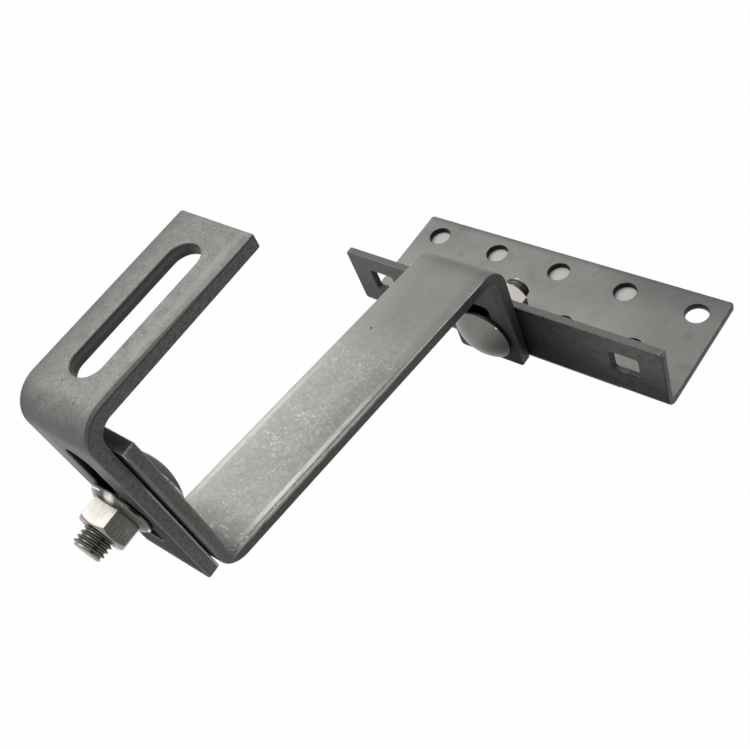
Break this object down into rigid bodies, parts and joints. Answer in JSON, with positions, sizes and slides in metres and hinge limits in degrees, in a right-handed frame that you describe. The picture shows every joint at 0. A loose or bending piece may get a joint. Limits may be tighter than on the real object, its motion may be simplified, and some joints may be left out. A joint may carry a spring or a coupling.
{
  "type": "solar roof hook",
  "caption": "Steel bracket that carries a solar mounting rail above a tiled roof: a screwed base plate, a bent arm over the tile and a slotted clip for the rail.",
  "frame": {"origin": "middle of the base plate's underside, where it lies on the rafter", "axes": "+X along the base plate, +Y up the roof from the rail clip to the base plate, +Z away from the roof"},
  "size_m": [0.143, 0.2196, 0.1532],
  "materials": {
    "bar_steel": "pickled stainless steel, satin, with mill marks",
    "bolt_steel": "bright stainless steel"
  },
  "bodies": {
    "root": {"base_plate": "bar_steel", "hook_arm": "bar_steel", "rail_clip": "bar_steel", "arm_bolt": "bolt_steel", "arm_washer": "bolt_steel", "arm_nut": "bolt_steel", "clip_bolt": "bolt_steel", "clip_nut": "bolt_steel"}
  },
  "joints": []
}
